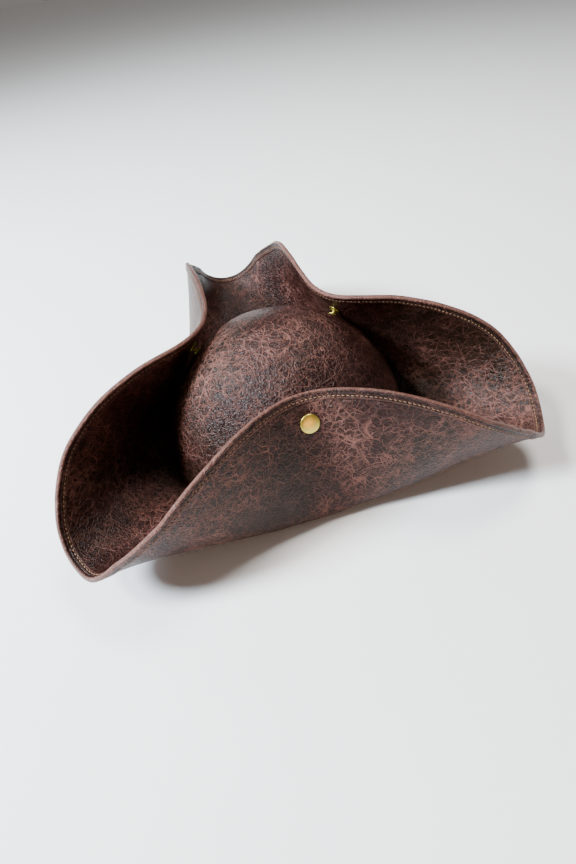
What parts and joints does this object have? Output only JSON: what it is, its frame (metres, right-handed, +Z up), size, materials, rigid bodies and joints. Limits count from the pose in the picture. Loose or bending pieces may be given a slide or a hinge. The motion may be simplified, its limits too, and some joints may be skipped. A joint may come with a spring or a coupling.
{
  "type": "pirate hat",
  "caption": "Tricorn pirate hat of distressed brown faux leather: domed crown, brim turned up on its sides and snapped to the crown, each side folding down.",
  "frame": {"origin": "middle of the head opening, in the plane that the hat stands on", "axes": "+Z up through the crown, +Y towards the front corner, +X towards the wearer's right"},
  "size_m": [0.3676, 0.339, 0.1156],
  "materials": {
    "leather": "distressed faux leather, crackled, semi-gloss",
    "edge_leather": "folded and stitched faux leather strip, worn on its ridge",
    "lining": "plain woven black lining",
    "sweatband": "ribbed dark brown tape",
    "brass": "satin brass plate",
    "edge_wire": "drawn steel wire"
  },
  "bodies": {
    "hat": {"crown": "leather", "crown_lining": "lining", "sweatband": "sweatband", "brim_base": "leather", "rear_snap_stud": "brass", "right_snap_stud": "brass", "left_snap_stud": "brass", "rear_snap_eyelet": "brass", "right_snap_eyelet": "brass", "left_snap_eyelet": "brass", "front_corner_binding": "edge_leather", "rear_left_corner_binding": "edge_leather", "rear_right_corner_binding": "edge_leather", "front_corner_wire": "edge_wire", "rear_left_corner_wire": "edge_wire", "rear_right_corner_wire": "edge_wire"},
    "rear_side": {"rear_flap": "leather", "rear_binding": "edge_leather", "rear_edge_wire": "edge_wire", "rear_snap_cap": "brass", "rear_snap_socket": "brass"},
    "right_side": {"right_flap": "leather", "right_binding": "edge_leather", "right_edge_wire": "edge_wire", "right_snap_cap": "brass", "right_snap_socket": "brass"},
    "left_side": {"left_flap": "leather", "left_binding": "edge_leather", "left_edge_wire": "edge_wire", "left_snap_cap": "brass", "left_snap_socket": "brass"}
  },
  "joints": [
    {"name": "rear_side_fold", "type": "hinge", "parent": "hat", "child": "rear_side", "pos_m": [0, -0.11213, 0.03416], "axis": [1, 0, 0], "range_deg": [0, 90]},
    {"name": "right_side_fold", "type": "hinge", "parent": "hat", "child": "right_side", "pos_m": [0.10002, 0.05775, 0.03416], "axis": [-0.5, 0.866, 0], "range_deg": [0, 90]},
    {"name": "left_side_fold", "type": "hinge", "parent": "hat", "child": "left_side", "pos_m": [-0.10002, 0.05775, 0.03416], "axis": [-0.5, -0.866, 0], "range_deg": [0, 90]}
  ]
}
